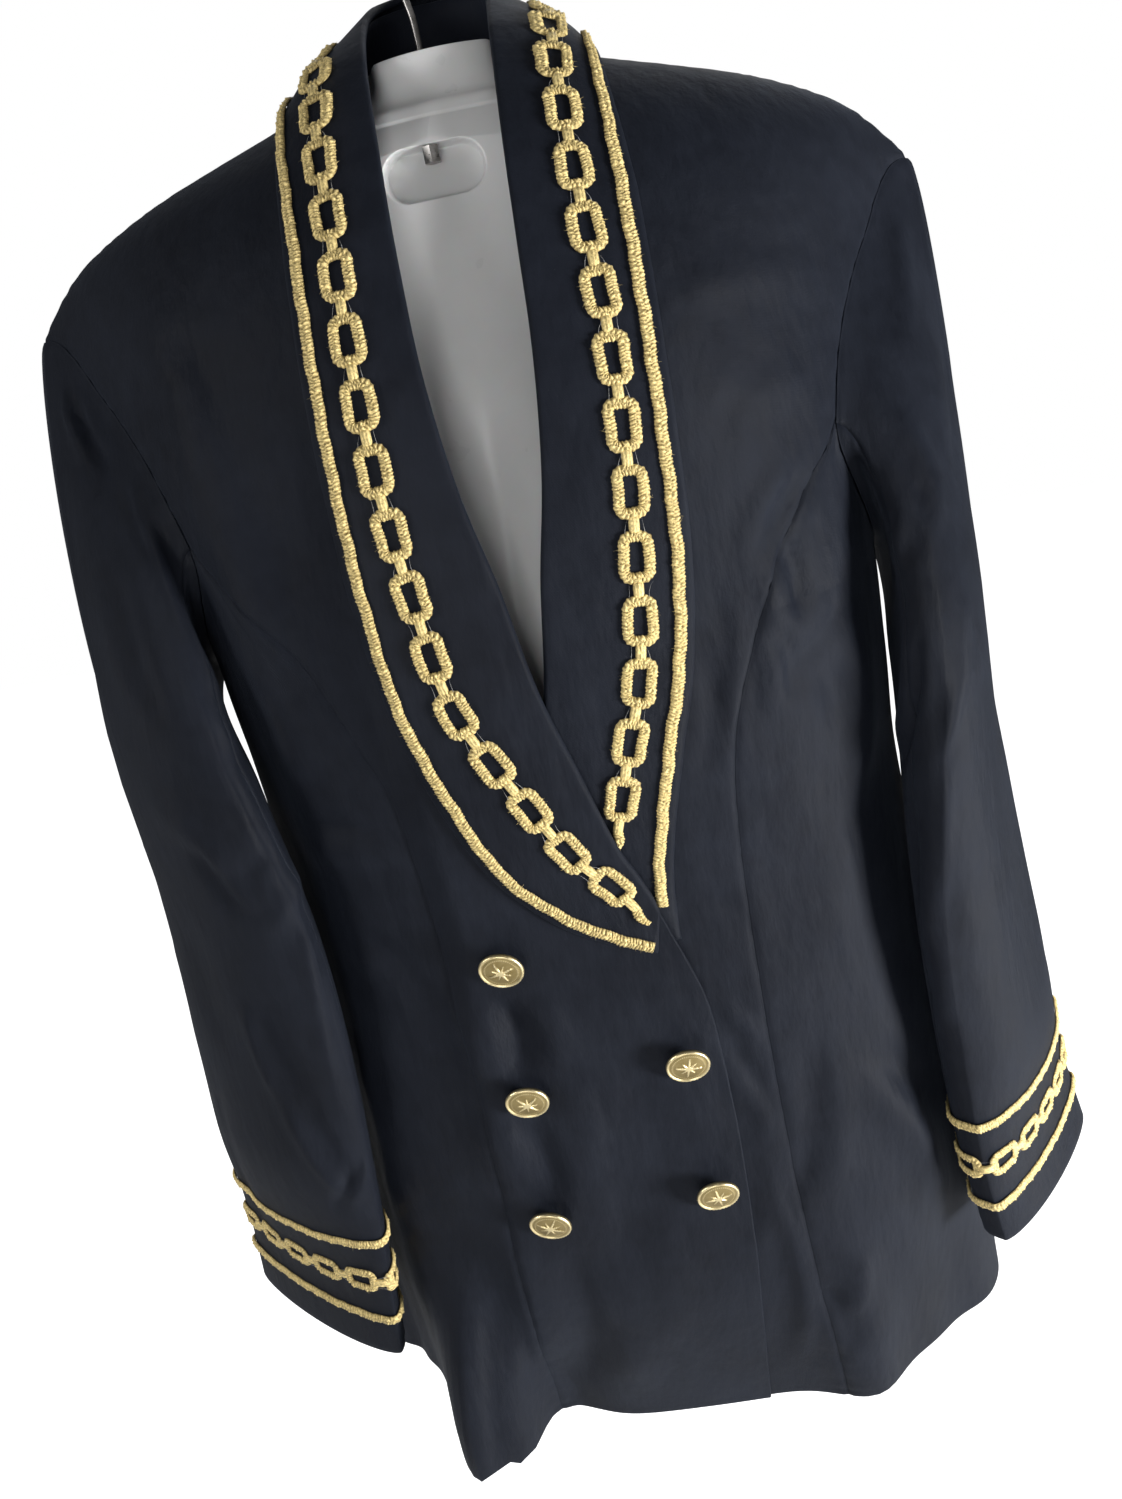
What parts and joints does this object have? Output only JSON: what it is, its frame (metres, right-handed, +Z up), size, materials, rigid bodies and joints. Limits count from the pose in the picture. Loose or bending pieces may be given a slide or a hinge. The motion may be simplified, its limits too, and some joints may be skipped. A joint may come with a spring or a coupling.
{
  "type": "nautical blazer on a hanging torso form",
  "caption": "Black double-breasted shawl-collar blazer with gold chain and braid applique on collar and cuffs, worn by a white hanging torso form with a wire hook.",
  "frame": {"origin": "where a rail or nail bears on the inside of the wire hook, on the form's middle line", "axes": "+Z up, the front of the blazer faces -Y, the wearer's left is +X"},
  "size_m": [0.5425, 0.2469, 0.8425],
  "materials": {
    "black_cloth": "fine plain weave with a soft sheen",
    "gold_braid": "plaited metallic gold thread",
    "antique_gold": "pale antique gold, rubbed",
    "white_plastic": "smooth moulded white, satin gloss",
    "steel_wire": "bright drawn wire"
  },
  "bodies": {
    "root": {"back": "black_cloth", "front_right_centre": "black_cloth", "front_right_side": "black_cloth", "front_left_centre": "black_cloth", "front_left_side": "black_cloth", "sleeve_right_top": "black_cloth", "sleeve_right_under": "black_cloth", "sleeve_left_top": "black_cloth", "sleeve_left_under": "black_cloth", "collar_right": "black_cloth", "collar_left": "black_cloth", "under_collar": "black_cloth", "collar_chain_right": "gold_braid", "collar_chain_left": "gold_braid", "collar_braid_right": "gold_braid", "collar_braid_left": "gold_braid", "cuff_chain_right": "gold_braid", "cuff_chain_left": "gold_braid", "cuff_braid_upper_right": "gold_braid", "cuff_braid_lower_right": "gold_braid", "cuff_braid_upper_left": "gold_braid", "cuff_braid_lower_left": "gold_braid", "button_1": "antique_gold", "button_2": "antique_gold", "button_3": "antique_gold", "button_4": "antique_gold", "button_5": "antique_gold", "torso_form": "white_plastic", "hanger_hook": "steel_wire", "hook_nut": "steel_wire"}
  },
  "joints": []
}
